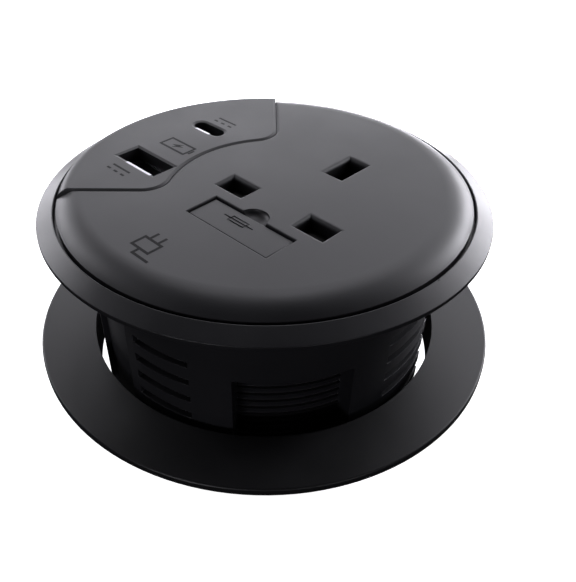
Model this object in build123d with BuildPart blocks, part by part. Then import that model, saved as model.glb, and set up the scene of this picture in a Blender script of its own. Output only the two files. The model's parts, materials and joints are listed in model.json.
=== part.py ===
"""A round in-desk power module for an 80 mm hole.

One British three-pin socket with a pull-out fuse, two charging ports in their own insert,
a bezel with a ribbed barrel below it, and a clamp ring that slides up the barrel.
Millimetres, +Z up. The origin is the centre of the barrel's foot, X runs from the neutral
to the live pin, and Y runs towards the earth pin.
"""

import os
from math import acos, cos, degrees, radians, sin, sqrt

from build123d import *

os.makedirs("parts", exist_ok=True)

# Whole module and its fits
total_height = 58.0
fit_gap = 0.3  # between fixed mouldings
slide_gap = 0.3  # round anything that slides
thread_gap = 0.05  # round a screw in its pilot hole

# Face: cover, bezel and the groove between them
face_radius = 44.1
cover_roll = 8.9  # radius of the cover's rolled edge
insert_roll = 2.85  # radius of the insert's, a tighter one
face_roll_drop = 2.35  # flat of the face to the rim's edge
plate_wall = 3.0
cover_depth = 4.0  # face to the seat in the bezel's tray
skirt_wall = 3.0
groove_width = 0.6
bezel_slope = 3.7  # width of the sloping top
bezel_inner_drop = 2.4  # inner edge of the bezel, below the face
bezel_outer_drop = 4.2  # top of the bezel's rim, below the face
bezel_rim = 0.9  # height of the rim
bezel_rounding = 0.2  # of its two upper edges
bezel_depth = 5.8  # face to the desk's surface
bezel_undercut = 1.1
peg_radius = 1.2
peg_hole_gap = 0.1
cover_peg_angles = (-110, -55, 0, 55, 110)
insert_peg_angles = (160, 200)

# Barrel
barrel_radius = 39.2
barrel_wall = 4.2  # with its ribs
rib_pitch = 4.9
rib_groove = 2.0  # height of the groove between two ribs
rib_depth = 1.3
rib_start_drop = 19.3  # top of the first groove, below the face
rib_count = 8
channel_angle = -36.0
channel_spread = 36.0  # width of a channel, in degrees
column_spread = 13.0  # plain column at each side of a channel
short_ribs_spread = 20.0  # ribs beside one column
long_ribs_spread = 26.0  # ribs beside the other column
land_spread = 4.0  # plain strip beside the short ribs
flat_spread = 24.0  # sunk flat beside the land
channel_top_drop = 22.5  # below the face
channel_depth = 4.7
channel_wall = 2.0
channel_side_spread = 4.0  # wall beside the channel, in degrees
tooth_pitch = 2.0
tooth_height = 0.7
tooth_land = 0.9  # share of the pitch that a tooth takes
tooth_margin = 2.0  # plain floor below the first tooth
tooth_count = 15

# Posts inside the barrel, and the screws in them
post_radius = 3.5
post_inset = 4.2  # bore to the middle of a post
post_web = 4.0
post_angles = (20, 110, 250)
screw_radius = 1.2
screw_length = 9.0
pilot_spare = 2.0  # pilot hole below a screw's tip
screw_head_radius = 2.4
screw_head_height = 1.4
screw_hole_gap = 0.3

# Clamp ring
ring_radius = 53.45
ring_clearance = 1.7  # barrel to the ring's hole
ring_drop = 36.0  # face to the ring's top face, as photographed
ring_thickness = 2.0
ring_edge = 0.5  # rounding of its rim
collar_wall = 2.0
collar_depth = 8.5  # below the ring's flange
key_height = 4.2
gusset_count = 12
gusset_wall = 1.2
gusset_margin = 3.9  # gusset's tip to the ring's rim
gusset_depth = 5.0

# Socket
pin_pitch = 22.23
ln_pin_width = 6.35
pin_thickness = 3.97
earth_pin_width = 7.92
socket_x = 9.8
ln_y = -6.7
aperture_gap = 0.65
aperture_bevel = 0.5
pin_depth = 27.0  # face to the floor of the contacts' wells

# Contacts, folded from strip
strip = 0.6
contact_grip = 3.4
contact_flare = 0.8
contact_lip = 2.5
contact_margin = 0.3
contact_sink = 2.0  # live and neutral lips, below the core's top
ln_clip_width = 6.6
earth_clip_width = 7.8
tag_width = 3.0
tag_gap = 0.2
tag_inset = 0.2  # end of a tag, inside its board

# Socket core
core_flange = 2.5
core_wall = 1.6
core_edge_gap = 1.5  # core's straight edge to the charging board
standoff_radius = 3.0
back_standoff_place = (-8.0, 12.0)
right_standoff_shift = (-5.9, -6.5)  # from the right post
front_standoff_y = -24.0

# Shutter and its springs
shutter_thickness = 2.3
shutter_travel = 6.4
shutter_margin = 1.4  # overlap round the live and neutral apertures
bridge_width = 6.0
ramp_width = 6.6
ramp_depth = 6.3  # below the shutter's top
ramp_land = 0.6
frame_wall = 1.8
spring_wire = 0.4
spring_radius = 1.3  # to the middle of the wire
spring_turns = 8
spring_length = 10.0
spring_gap = 0.1
spring_stop = 1.5
stop_width = 4.4

# Fuse and its carrier
fuse_y = -16.55
fuse_radius = 2.6
fuse_length = 20.0
fuse_drop = 7.0  # face to the fuse's axis
cap_length = 5.0
cap_wall = 0.2
cap_end = 0.4
tube_wall = 0.8
fuse_wire_radius = 0.15
door_length = 21.8
door_width = 7.4
door_gap = 0.3
door_bevel = 0.25
notch_width = 6.0
notch_reach = 2.7
saddle_gap = 0.2  # to the fuse's caps, at each end
saddle_width = 6.8
saddle_slot = 3.6
fuse_hold_gap = 0.1
stop_wall = 0.8
clip_width = 3.4
clip_gap = 0.15
tub_clearance = 0.5
clip_lip = 1.2
clip_flare = 0.6
clip_under_fuse = 1.2

# Charging insert and its S-shaped seam
insert_y = -1.9
seam_waist_gap = 6.6  # middle of the USB-A port to the seam's waist
seam_waist_radius = 24.0
seam_shoulder_radius = 6.0
seam_apex_reach = 23.6  # waist to where the two slanted edges would meet
seam_gap = 0.35
seam_bevel = 0.25
ledge_width = 1.6
insert_post_radius = 2.2
insert_screw_radius = 0.8
insert_screw_length = 5.0
insert_screw_head_radius = 1.7
insert_screw_head_height = 1.1
insert_post_shifts = ((1.9, -10.8), (4.3, 8.2))  # from the USB-C port

# USB-A receptacle
usb_a_inset = 7.45  # bore to the port's middle
usb_a_angle = 209.82
usb_a_length = 12.5  # inside its shell
usb_a_width = 5.1
usb_shell_wall = 0.3
usb_port_margin = 0.3  # opening round the shell's bore
usb_port_bevel = 0.35
usb_base_height = 4.0
usb_mouth_gap = 0.1  # shell's end below the insert's plate
usb_a_tongue_length = 11.1
usb_a_tongue_width = 1.9
usb_a_tongue_drop = 2.6  # its tip, below the shell's mouth
usb_a_tongue_offset = 1.2
usb_a_finger_width = 1.2
usb_a_finger_pitch = 2.5
usb_finger_thickness = 0.2
usb_finger_inset = 0.8

# USB-C receptacle
usb_c_inset = 8.7  # left side of the bore to the port's middle
usb_c_y = 7.3
usb_c_length = 8.6  # inside its shell
usb_c_width = 2.8
usb_c_tongue_length = 6.7
usb_c_tongue_width = 0.8
usb_c_tongue_drop = 1.2

# Charging board
board_wall = 1.6
usb_board_drop = 16.0  # face to its top side
usb_board_side = 8.9  # middle of the USB-A port to the board's straight edge
usb_board_front = 6.8  # middle of the USB-A port to the board's front edge
usb_board_high_y = 20.0
chip_size = 5.0
chip_height = 1.0
chip_shifts = ((-1.2, -6.3), (6.3, -1.8))  # from the USB-C port
coil_size = 6.0
coil_height = 3.0
coil_shift = (0.0, -1.3)  # from the USB-A port

# Mains board and what hangs below it
power_board_drop = 32.4  # face to its top side
board_gap = 0.5  # to the walls behind the channels
transformer_y = -4.5
transformer_length = 13.0
transformer_width = 7.0
transformer_height = 12.0
transformer_yoke = 2.0
transformer_leg = 2.0
transformer_core_leg = 2.4  # radius of the middle leg
winding_gap = 0.2
capacitor_radius = 5.0
capacitor_height = 14.0
left_capacitors_x = -22.0
left_capacitors_spacing = 13.0
front_capacitor_shift = (-0.5, 8.9)  # from the front post
capacitor_groove_drop = 2.0
capacitor_groove = 0.5
film_length = 14.0
film_width = 6.0
film_height = 11.0
film_round = 0.6
film_shift = (7.5, -8.0)  # from the back post
choke_radius = 4.0
choke_height = 9.0
choke_x = 2.0
choke_inset = 10.5  # front edge of the board to the choke's middle
choke_flange = 1.5
choke_waist = 1.2
rectifier_length = 8.0
rectifier_width = 6.0
rectifier_height = 2.5
rectifier_place = (15.0, 19.0)

# Header between the two boards
link_inset = 4.5  # charging board's straight edge to the header
link_y = -3.0
link_pitch = 2.54
link_pins = 4
link_pin = 0.64
link_base_width = 2.5
link_base_height = 2.5

# Mains inlet and base
base_wall = 2.5
screw_sink = 1.6
cap_notch_margin = 0.6  # beside the channels' walls, in degrees
inlet_length = 24.4
inlet_width = 16.6
inlet_wall = 1.5
inlet_height = 17.0
inlet_back = 2.5
inlet_flange = 2.0
inlet_flange_wall = 1.5
inlet_pin_length = 4.0
inlet_pin_width = 2.0
inlet_pin_spacing = 14.0
inlet_earth_offset = 4.0
inlet_pin_recess = 3.0
inlet_y = 0.0

# Heights and radii that follow
face_z = total_height
bore_radius = barrel_radius - barrel_wall
channel_floor_radius = barrel_radius - channel_depth
pocket_radius = channel_floor_radius - channel_wall
post_circle = bore_radius - post_inset
plate_bottom = face_z - plate_wall
tray_floor = face_z - cover_depth
desk_plane = face_z - bezel_depth
tray_radius = face_radius + groove_width
bezel_radius = tray_radius + bezel_slope
skirt_radius = face_radius - skirt_wall
peg_circle = face_radius - skirt_wall / 2
shutter_top = plate_bottom - slide_gap
shutter_bottom = shutter_top - shutter_thickness
core_top = shutter_bottom - slide_gap
core_seat = core_top - core_flange
channel_top = face_z - channel_top_drop
ring_hole_radius = barrel_radius + ring_clearance
collar_radius = ring_hole_radius + collar_wall
ring_top = face_z - ring_drop
ring_bottom = ring_top - ring_thickness
collar_bottom = ring_bottom - collar_depth
well_floor = face_z - pin_depth
power_board_top = face_z - power_board_drop
power_board_bottom = power_board_top - board_wall
usb_board_top = face_z - usb_board_drop
usb_board_bottom = usb_board_top - board_wall
line_x = socket_x + pin_pitch / 2
neutral_x = socket_x - pin_pitch / 2
earth_y = ln_y + pin_pitch
usb_c_x = usb_c_inset - bore_radius
tag_end = power_board_bottom + tag_inset
fuse_z = face_z - fuse_drop
tub_floor = fuse_z - fuse_radius - clip_under_fuse - strip
saddle_length = fuse_length - 2 * (cap_length + saddle_gap)


def polar(radius, angle):
    """The flat place at a radius and an angle in degrees."""
    return (radius * cos(radians(angle)), radius * sin(radians(angle)))


def shifted(place, shift):
    """A flat place, moved by a shift in x and y."""
    return (place[0] + shift[0], place[1] + shift[1])


def radial_plane(angle):
    """The upright plane through the axis, its x outwards at the angle and its y upwards."""
    outward = polar(1, angle)
    return Plane(origin=(0, 0, 0), x_dir=(*outward, 0), z_dir=(outward[1], -outward[0], 0))


usb_a_x, usb_a_y = polar(bore_radius - usb_a_inset, usb_a_angle)
usb_board_edge_x = usb_a_x + usb_board_side
usb_board_low_y = usb_a_y - usb_board_front
seam_waist_x = usb_a_x + seam_waist_gap
seam_apex_x = seam_waist_x + seam_apex_reach
core_edge_x = usb_board_edge_x + core_edge_gap
link_x = usb_board_edge_x - link_inset


def upright_box(x, y, low, high, size_x, size_y, mode=Mode.ADD):
    """A box centred on x and y, between two heights."""
    with Locations((x, y, low)):
        Box(size_x, size_y, high - low, align=(Align.CENTER, Align.CENTER, Align.MIN), mode=mode)


def upright_rod(x, y, low, high, radius, mode=Mode.ADD):
    """A cylinder on x and y, between two heights."""
    with Locations((x, y, low)):
        Cylinder(radius, high - low, align=(Align.CENTER, Align.CENTER, Align.MIN), mode=mode)


def ring_sector(inner, outer, start, spread):
    """A flat sector of a ring, from a start angle through a spread in degrees."""
    with BuildSketch() as sector:
        with BuildLine():
            far = CenterArc((0, 0), outer, start, spread)
            near = CenterArc((0, 0), inner, start, spread)
            Line(far @ 0, near @ 0)
            Line(far @ 1, near @ 1)
        make_face()
    return sector.sketch


def insert_outline(grow):
    """The charging insert's flat outline, grown outwards, running past the rim of the face."""
    apex = seam_apex_x + grow * sqrt(2)
    reach = 2 * bezel_radius
    waist_x = seam_waist_x + grow
    waist_radius = seam_waist_radius - grow
    with BuildSketch() as outline:
        with BuildLine():
            Polyline((apex, 0), (apex - reach, reach), (apex - reach, -reach), close=True)
        make_face()
        with Locations((waist_x + waist_radius, 0)):
            Circle(waist_radius, mode=Mode.SUBTRACT)
        shoulders = outline.vertices().sort_by(Axis.X)[-2:]
        fillet(shoulders, seam_shoulder_radius + grow)
    return outline.sketch.moved(Location((0, insert_y, 0)))


def bevelled_hole(x, y, size_x, size_y, bevel):
    """A rectangular hole through the face plate with a bevelled mouth."""
    upright_box(x, y, plate_bottom, face_z, size_x, size_y, mode=Mode.SUBTRACT)
    with BuildSketch(Plane.XY.offset(face_z - bevel)) as throat:
        with Locations((x, y)):
            Rectangle(size_x, size_y)
    with BuildSketch(Plane.XY.offset(face_z)) as mouth:
        with Locations((x, y)):
            Rectangle(size_x + 2 * bevel, size_y + 2 * bevel)
    loft((throat.sketch, mouth.sketch), mode=Mode.SUBTRACT)


def face_disc(roll_radius, mode=Mode.ADD):
    """The form of the cover or the insert: a plate with a rolled edge, turned on Z."""
    turn = acos(1 - face_roll_drop / roll_radius)
    flat_radius = face_radius - roll_radius * sin(turn)
    with BuildSketch(Plane.XZ) as profile:
        with BuildLine():
            Line((0, plate_bottom), (0, face_z))
            Line((0, face_z), (flat_radius, face_z))
            roll = CenterArc((flat_radius, face_z - roll_radius), roll_radius, 90, -degrees(turn))
            Line(roll @ 1, (face_radius, plate_bottom))
            Line((face_radius, plate_bottom), (0, plate_bottom))
        make_face()
    revolve(profile.sketch, axis=Axis.Z, mode=mode)


def pegs(angles, top):
    """Pegs through the floor of the bezel's tray."""
    for angle in angles:
        upright_rod(*polar(peg_circle, angle), desk_plane, top, peg_radius)


def peg_holes(angles, low, high):
    """The holes that the pegs pass through."""
    for angle in angles:
        place = polar(peg_circle, angle)
        upright_rod(*place, low, high, peg_radius + peg_hole_gap, mode=Mode.SUBTRACT)


def seam_bevel_band(grow, flare, mode=Mode.ADD):
    """The bevelled top of the S-shaped seam: an outline that grows by a flare up to the face."""
    with BuildSketch(Plane.XY.offset(face_z - seam_bevel)) as foot:
        add(insert_outline(grow))
    with BuildSketch(Plane.XY.offset(face_z)) as top:
        add(insert_outline(grow + flare))
    loft((foot.sketch, top.sketch), mode=mode)


def rod_along_x(low, high, radius, mode=Mode.ADD):
    """A rod on the fuse's axis, between two places along X."""
    with Locations(((low + high) / 2, fuse_y, fuse_z)):
        Cylinder(radius, high - low, rotation=(0, 90, 0), mode=mode)


def folded_clip(plane, grip, width, base, top, flare, lip):
    """A U-shaped clip of folded strip on an upright plane, with lips that open outwards."""
    half = grip / 2
    with BuildSketch(plane) as profile:
        with BuildLine():
            Polyline(
                (0, base),
                (half + strip, base),
                (half + strip, top - lip),
                (half + strip + flare, top),
                (half + flare, top),
                (half, top - lip),
                (half, base + strip),
                (0, base + strip),
                close=True,
            )
        make_face()
        mirror(about=Plane.YZ)
    extrude(profile.sketch, amount=width / 2, both=True)


def clip_plane_x(x, y):
    """The upright plane of a clip whose leaves face along Y."""
    return Plane(origin=(x, y, 0), x_dir=(0, 1, 0), z_dir=(1, 0, 0))


def clip_plane_y(x, y):
    """The upright plane of a clip whose leaves face along X."""
    return Plane(origin=(x, y, 0), x_dir=(1, 0, 0), z_dir=(0, -1, 0))


# Places of what repeats
post_places = [polar(post_circle, angle) for angle in post_angles]
right_post, back_post, front_post = post_places
right_standoff_place = shifted(right_post, right_standoff_shift)
standoff_places = (back_standoff_place, right_standoff_place, (socket_x, front_standoff_y))
usb_c_place = (usb_c_x, usb_c_y)
insert_post_places = [shifted(usb_c_place, shift) for shift in insert_post_shifts]


# Barrel housing: bezel, tray and ribbed barrel
channel_start = channel_angle - channel_spread / 2
short_ribs_start = channel_start - column_spread - short_ribs_spread
flat_start = short_ribs_start - land_spread - flat_spread
long_ribs_start = channel_start + channel_spread + column_spread
far_flat_start = long_ribs_start + long_ribs_spread
far_flat_spread = flat_start + 180 - column_spread - far_flat_start
rib_radius = barrel_radius - rib_depth
outside = barrel_radius + rib_depth
pocket_start = channel_start - channel_side_spread
pocket_spread = channel_spread + 2 * channel_side_spread
tooth_radius = channel_floor_radius + tooth_height
pilot_depth = screw_length + pilot_spare

with BuildPart() as barrel_housing:
    with BuildSketch(Plane.XZ):
        with BuildLine():
            Polyline(
                (bore_radius, 0),
                (barrel_radius, 0),
                (barrel_radius, desk_plane),
                (bezel_radius - bezel_undercut, desk_plane),
                (bezel_radius, face_z - bezel_outer_drop - bezel_rim),
                (bezel_radius, face_z - bezel_outer_drop),
                (tray_radius, face_z - bezel_inner_drop),
                (tray_radius, tray_floor),
                (bore_radius, tray_floor),
                close=True,
            )
        make_face()
    revolve(axis=Axis.Z)
    slope = (face_z - bezel_outer_drop, face_z - bezel_inner_drop)
    fillet(barrel_housing.edges().filter_by_position(Axis.Z, *slope), bezel_rounding)
    for turn in (0, 180):
        # The wall that bulges into the bore behind a channel, then the channel itself
        with BuildSketch():
            pocket_outer = bore_radius + channel_wall / 2
            add(ring_sector(pocket_radius, pocket_outer, pocket_start + turn, pocket_spread))
        extrude(amount=channel_top + channel_wall)
        with BuildSketch():
            add(ring_sector(channel_floor_radius, outside, channel_start + turn, channel_spread))
        extrude(amount=channel_top, mode=Mode.SUBTRACT)
        # Ratchet teeth on its floor, sloped so that a key rides up and rests on their tops
        with BuildSketch(radial_plane(channel_start + turn)):
            for index in range(tooth_count):
                low = tooth_margin + index * tooth_pitch
                high = low + tooth_land * tooth_pitch
                root = channel_floor_radius - channel_wall / 4
                with BuildLine():
                    Polyline((root, low), (tooth_radius, high), (root, high), close=True)
                make_face()
        revolve(axis=Axis.Z, revolution_arc=channel_spread)
    # Grooves between the ribs
    for index in range(rib_count):
        groove_top = face_z - rib_start_drop - index * rib_pitch
        with BuildSketch(Plane.XY.offset(groove_top - rib_groove)):
            for turn in (0, 180):
                add(ring_sector(rib_radius, outside, short_ribs_start + turn, short_ribs_spread))
                add(ring_sector(rib_radius, outside, long_ribs_start + turn, long_ribs_spread))
        extrude(amount=rib_groove, mode=Mode.SUBTRACT)
    # Sunk flats beside the land and beside the long ribs
    with BuildSketch():
        for turn in (0, 180):
            add(ring_sector(rib_radius, outside, flat_start + turn, flat_spread))
            add(ring_sector(rib_radius, outside, far_flat_start + turn, far_flat_spread))
    extrude(amount=desk_plane - rib_depth, mode=Mode.SUBTRACT)
    # Posts for the core's and the base's screws
    for angle in post_angles:
        with BuildSketch(Plane.XY.offset(base_wall)):
            with Locations(polar(post_circle, angle)):
                Circle(post_radius)
            with Locations(Location((*polar(post_circle, angle), 0), (0, 0, angle))):
                web_length = (bore_radius + barrel_radius) / 2 - post_circle
                Rectangle(web_length, post_web, align=(Align.MIN, Align.CENTER))
        extrude(amount=core_seat - base_wall)
    for place in post_places:
        pilot = screw_radius + thread_gap
        upright_rod(*place, core_seat - pilot_depth, core_seat, pilot, mode=Mode.SUBTRACT)
        upright_rod(*place, base_wall, base_wall + pilot_depth, pilot, mode=Mode.SUBTRACT)
    peg_holes(cover_peg_angles + insert_peg_angles, desk_plane, tray_floor)
barrel_housing.part.label = "barrel_housing"
export_step(barrel_housing.part, "parts/barrel_housing.step")


# Cover: the face plate, its skirt and the ledge that carries the charging insert
ln_hole = (ln_pin_width + aperture_gap, pin_thickness + aperture_gap)
earth_hole = (pin_thickness + aperture_gap, earth_pin_width + aperture_gap)
door_hole = (door_length + 2 * door_gap, door_width + 2 * door_gap)
notch_length = door_hole[1] / 2 + notch_reach

with BuildPart() as cover:
    face_disc(cover_roll)
    with BuildSketch(Plane.XY.offset(tray_floor)):
        Circle(face_radius)
        Circle(skirt_radius, mode=Mode.SUBTRACT)
    extrude(amount=plate_bottom - tray_floor)
    with BuildSketch(Plane.XY.offset(tray_floor)):
        add(insert_outline(ledge_width))
        add(insert_outline(-ledge_width), mode=Mode.SUBTRACT)
        Circle(skirt_radius + fit_gap, mode=Mode.INTERSECT)
    extrude(amount=plate_bottom - tray_floor)
    with BuildSketch(Plane.XY.offset(plate_bottom)):
        add(insert_outline(0))
    extrude(amount=plate_wall, mode=Mode.SUBTRACT)
    seam_bevel_band(0, seam_bevel, mode=Mode.SUBTRACT)
    bevelled_hole(line_x, ln_y, *ln_hole, aperture_bevel)
    bevelled_hole(neutral_x, ln_y, *ln_hole, aperture_bevel)
    bevelled_hole(socket_x, earth_y, *earth_hole, aperture_bevel)
    bevelled_hole(socket_x, fuse_y, *door_hole, door_bevel)
    notch = (notch_width, notch_length)
    notch_y = fuse_y + notch_length / 2
    upright_box(socket_x, notch_y, plate_bottom, face_z, *notch, mode=Mode.SUBTRACT)
    pegs(cover_peg_angles, tray_floor)
    peg_holes(insert_peg_angles, tray_floor, plate_bottom)
cover.part.label = "cover"
export_step(cover.part, "parts/cover.step")


# Charging insert: the face's lobe with the two ports
usb_a_hole = (usb_a_length + 2 * usb_port_margin, usb_a_width + 2 * usb_port_margin)
usb_c_hole = (usb_c_length + 2 * usb_port_margin, usb_c_width + 2 * usb_port_margin)

with BuildPart() as usb_insert:
    with BuildSketch(Plane.XY.offset(plate_bottom)):
        add(insert_outline(-seam_gap))
    extrude(amount=plate_wall - seam_bevel)
    seam_bevel_band(-seam_gap, -seam_bevel)
    face_disc(insert_roll, mode=Mode.INTERSECT)
    bevelled_hole(usb_a_x, usb_a_y, *usb_a_hole, usb_port_bevel)
    with BuildSketch(Plane.XY.offset(plate_bottom)):
        with Locations((usb_c_x, usb_c_y)):
            SlotOverall(*usb_c_hole)
    extrude(amount=plate_wall, mode=Mode.SUBTRACT)
    with BuildSketch(Plane.XY.offset(face_z - usb_port_bevel)):
        with Locations((usb_c_x, usb_c_y)):
            SlotOverall(*usb_c_hole)
    with BuildSketch(Plane.XY.offset(face_z)):
        with Locations((usb_c_x, usb_c_y)):
            SlotOverall(usb_c_hole[0] + 2 * usb_port_bevel, usb_c_hole[1] + 2 * usb_port_bevel)
    loft(mode=Mode.SUBTRACT)
    for place in insert_post_places:
        upright_rod(*place, usb_board_top, plate_bottom, insert_post_radius)
        pilot_top = usb_board_top + insert_screw_length
        upright_rod(*place, usb_board_top, pilot_top, insert_screw_radius + thread_gap, mode=Mode.SUBTRACT)
    pegs(insert_peg_angles, plate_bottom)
usb_insert.part.label = "usb_insert"
export_step(usb_insert.part, "parts/usb_insert.step")


# Shutter: wings below the live and neutral apertures, and a ramp in the earth pin's way
wing = (ln_hole[0] + 2 * shutter_margin, ln_hole[1] + 2 * shutter_margin)
wing_back = ln_y + wing[1] / 2
bridge_back = wing_back + bridge_width
ramp_start = earth_y + earth_pin_width / 2 + slide_gap - shutter_travel
ramp_top = ramp_start + shutter_travel
ramp_back = ramp_top + ramp_land
ramp_bottom = shutter_top - ramp_depth
frame_hole_start = ramp_start - earth_pin_width - 2 * slide_gap
frame_back = ramp_back + frame_wall

with BuildPart() as shutter:
    for x in (neutral_x, line_x):
        upright_box(x, ln_y, shutter_bottom, shutter_top, *wing)
    bridge = (pin_pitch + wing[0], bridge_width)
    upright_box(socket_x, (wing_back + bridge_back) / 2, shutter_bottom, shutter_top, *bridge)
    frame = (ramp_width + 2 * frame_wall, frame_back - wing_back)
    upright_box(socket_x, (wing_back + frame_back) / 2, shutter_bottom, shutter_top, *frame)
    hole = (ramp_width, ramp_top - frame_hole_start)
    hole_y = (ramp_top + frame_hole_start) / 2
    upright_box(socket_x, hole_y, shutter_bottom, shutter_top, *hole, mode=Mode.SUBTRACT)
    with BuildSketch(Plane.YZ.offset(socket_x - ramp_width / 2)):
        with BuildLine():
            Polyline(
                (ramp_start, ramp_bottom),
                (ramp_top, shutter_top),
                (ramp_back, shutter_top),
                (ramp_back, ramp_bottom),
                close=True,
            )
        make_face()
    extrude(amount=ramp_width)
shutter.part.label = "shutter"
export_step(shutter.part, "parts/shutter.step")


# Shutter springs: one coil behind each wing, along Y
spring_outer = spring_radius + spring_wire / 2
spring_z = shutter_top - spring_outer - spring_gap
spring_floor = spring_z - spring_outer - spring_gap
spring_start = bridge_back + spring_wire / 2 + spring_gap
spring_travel = spring_length - spring_wire - 2 * spring_gap
spring_pitch = spring_travel / spring_turns

with BuildPart() as shutter_springs:
    for x in (neutral_x, line_x):
        with BuildLine() as coil:
            Helix(
                spring_pitch,
                spring_travel,
                spring_radius,
                center=(x, spring_start, spring_z),
                direction=(0, 1, 0),
            )
        with BuildSketch(Plane(origin=coil.line @ 0, z_dir=coil.line % 0)):
            Circle(spring_wire / 2)
        sweep(path=coil.line)
shutter_springs.part.label = "shutter_springs"
export_step(shutter_springs.part, "parts/shutter_springs.step")
print("least gap between the springs' turns:", round(spring_pitch - spring_wire, 2), "mm")


# Socket core: flange, wells for the contacts, fuse tub and stand-offs
ln_well = (ln_clip_width + 2 * contact_margin, contact_grip + 2 * (strip + contact_flare + contact_margin))
earth_well = (ln_well[1], earth_clip_width + 2 * contact_margin)
well_bottom = well_floor - core_wall
ramp_pocket_floor = ramp_bottom - slide_gap
ramp_pocket_start = earth_y - earth_well[1] / 2
ramp_pocket_end = ramp_back + shutter_travel + slide_gap
ramp_pocket = (ramp_width + 2 * slide_gap, ramp_pocket_end - ramp_pocket_start)
ramp_pocket_y = (ramp_pocket_start + ramp_pocket_end) / 2
clip_grip = 2 * (fuse_radius + clip_gap)
tub = (
    door_length + 2 * tub_clearance,
    clip_grip + 2 * (strip + clip_flare + contact_margin),
)
clip_offset = (saddle_length + fuse_length) / 4
clip_places = ((socket_x - clip_offset, fuse_y), (socket_x + clip_offset, fuse_y))
spring_groove = 2 * (spring_outer + spring_gap)
wells = (
    (line_x, ln_y, well_floor, ln_well),
    (neutral_x, ln_y, well_floor, ln_well),
    (socket_x, earth_y, well_floor, earth_well),
    (socket_x, ramp_pocket_y, ramp_pocket_floor, ramp_pocket),
    (socket_x, fuse_y, tub_floor, tub),
)

with BuildPart() as socket_core:
    with BuildSketch(Plane.XY.offset(core_seat)):
        Circle(bore_radius - fit_gap)
        with Locations((core_edge_x, 0)):
            flange_box = 2 * bore_radius
            Rectangle(flange_box, flange_box, align=(Align.MIN, Align.CENTER), mode=Mode.INTERSECT)
    extrude(amount=core_flange)
    for x, y, floor, size in wells:
        upright_box(x, y, floor - core_wall, core_seat, size[0] + 2 * core_wall, size[1] + 2 * core_wall)
    upright_rod(0, 0, well_bottom, core_top, bore_radius - fit_gap, mode=Mode.INTERSECT)
    for place in standoff_places:
        upright_rod(*place, power_board_top, core_seat, standoff_radius)
    for x in (neutral_x, line_x):
        stop_y = bridge_back + spring_length + spring_stop / 2
        upright_box(x, stop_y, core_top, shutter_top, stop_width, spring_stop)
    for x, y, floor, size in wells:
        upright_box(x, y, floor, core_top, *size, mode=Mode.SUBTRACT)
    for x in (neutral_x, line_x):
        groove_y = bridge_back + spring_length / 2
        upright_box(
            x, groove_y, spring_floor, core_top, spring_groove, spring_length, mode=Mode.SUBTRACT
        )
    # Slots for the tags
    slot = (tag_width + 2 * tag_gap, strip + 2 * tag_gap)
    for x in (neutral_x, line_x):
        upright_box(x, ln_y, well_bottom, well_floor, *slot, mode=Mode.SUBTRACT)
    upright_box(socket_x, earth_y, well_bottom, well_floor, slot[1], slot[0], mode=Mode.SUBTRACT)
    for place in clip_places:
        upright_box(*place, tub_floor - core_wall, tub_floor, *slot, mode=Mode.SUBTRACT)
    # Screw holes
    for place in post_places:
        upright_rod(*place, core_seat, core_top, screw_radius + screw_hole_gap, mode=Mode.SUBTRACT)
    for place in standoff_places:
        pilot_top = power_board_top + pilot_depth
        upright_rod(*place, power_board_top, pilot_top, screw_radius + thread_gap, mode=Mode.SUBTRACT)
socket_core.part.label = "socket_core"
export_step(socket_core.part, "parts/socket_core.step")


# Contacts of the socket, folded from brass strip
ln_clip_top = core_top - contact_sink
earth_clip_top = ramp_bottom - 2 * slide_gap

with BuildPart() as line_contact:
    folded_clip(
        clip_plane_x(line_x, ln_y),
        contact_grip,
        ln_clip_width,
        well_floor,
        ln_clip_top,
        contact_flare,
        contact_lip,
    )
    upright_box(line_x, ln_y, tag_end, well_floor, tag_width, strip)
line_contact.part.label = "line_contact"
export_step(line_contact.part, "parts/line_contact.step")

with BuildPart() as neutral_contact:
    folded_clip(
        clip_plane_x(neutral_x, ln_y),
        contact_grip,
        ln_clip_width,
        well_floor,
        ln_clip_top,
        contact_flare,
        contact_lip,
    )
    upright_box(neutral_x, ln_y, tag_end, well_floor, tag_width, strip)
neutral_contact.part.label = "neutral_contact"
export_step(neutral_contact.part, "parts/neutral_contact.step")

with BuildPart() as earth_contact:
    folded_clip(
        clip_plane_y(socket_x, earth_y),
        contact_grip,
        earth_clip_width,
        well_floor,
        earth_clip_top,
        contact_flare,
        contact_lip,
    )
    upright_box(socket_x, earth_y, tag_end, well_floor, strip, tag_width)
earth_contact.part.label = "earth_contact"
export_step(earth_contact.part, "parts/earth_contact.step")


# Fuse carrier: the door, the saddle that holds the fuse's middle, and its end stops
tube_radius = fuse_radius - cap_wall
fuse_start = socket_x - fuse_length / 2
fuse_end = socket_x + fuse_length / 2
saddle_bottom = fuse_z - fuse_radius - cap_wall
stop_inset = (door_length - stop_wall) / 2

with BuildPart() as fuse_carrier:
    upright_box(socket_x, fuse_y, plate_bottom, face_z, door_length, door_width)
    chamfer(fuse_carrier.edges().group_by(Axis.Z)[-1], door_bevel)
    upright_box(socket_x, fuse_y, saddle_bottom, plate_bottom, saddle_length, saddle_width)
    rod_along_x(
        socket_x - saddle_length / 2,
        socket_x + saddle_length / 2,
        tube_radius + fuse_hold_gap,
        mode=Mode.SUBTRACT,
    )
    upright_box(socket_x, fuse_y, saddle_bottom, fuse_z, saddle_length, saddle_slot, mode=Mode.SUBTRACT)
    for side in (-1, 1):
        stop_x = socket_x + side * stop_inset
        upright_box(stop_x, fuse_y, tub_floor + slide_gap, plate_bottom, stop_wall, saddle_width)
fuse_carrier.part.label = "fuse_carrier"
export_step(fuse_carrier.part, "parts/fuse_carrier.step")


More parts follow.
